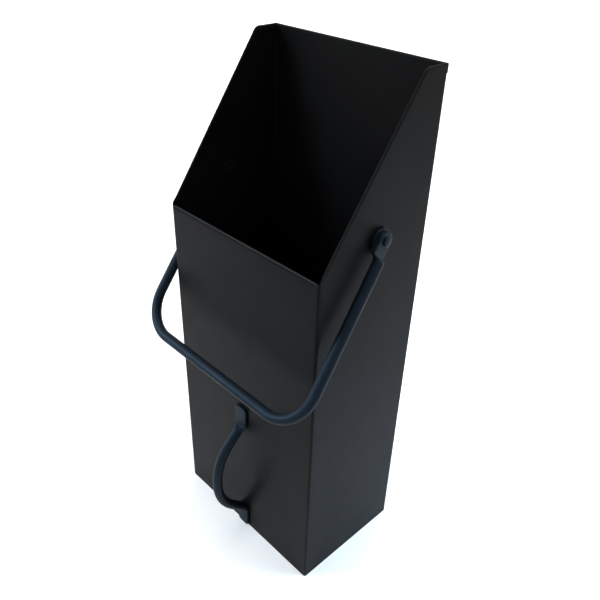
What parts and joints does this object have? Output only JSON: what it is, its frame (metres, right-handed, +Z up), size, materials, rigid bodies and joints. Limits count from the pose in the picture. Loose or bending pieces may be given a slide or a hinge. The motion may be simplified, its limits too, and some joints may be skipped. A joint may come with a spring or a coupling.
{
  "type": "coal hod",
  "caption": "Tall rectangular coal hod of folded sheet steel with a slanted mouth, a swinging carrying bail on riveted pivots and a fixed tipping handle low on its front.",
  "frame": {"origin": "middle of the underside of the base, on the floor", "axes": "+Z up, -Y towards the low front with the tipping handle, +X to the right when looking along +Y at the front"},
  "size_m": [0.2296, 0.1703, 0.505],
  "materials": {
    "panel_black": "satin black powder coat, fine grain",
    "bar_black": "smooth semi-gloss black paint",
    "fixing_black": "semi-gloss black lacquer"
  },
  "bodies": {
    "hod": {"body_wrap": "panel_black", "back_panel": "panel_black", "base_pan": "panel_black", "tipping_handle": "bar_black", "pivot_rivet_right": "fixing_black", "pivot_rivet_left": "fixing_black", "bail_washer_right": "fixing_black", "bail_washer_left": "fixing_black", "backing_washer_right": "fixing_black", "backing_washer_left": "fixing_black"},
    "bail": {"bail": "bar_black"}
  },
  "joints": [
    {"name": "bail_swing", "type": "hinge", "parent": "hod", "child": "bail", "pos_m": [0, 0.0035, 0.3765], "axis": [-1, 0, 0], "range_deg": [-9, 300]}
  ]
}
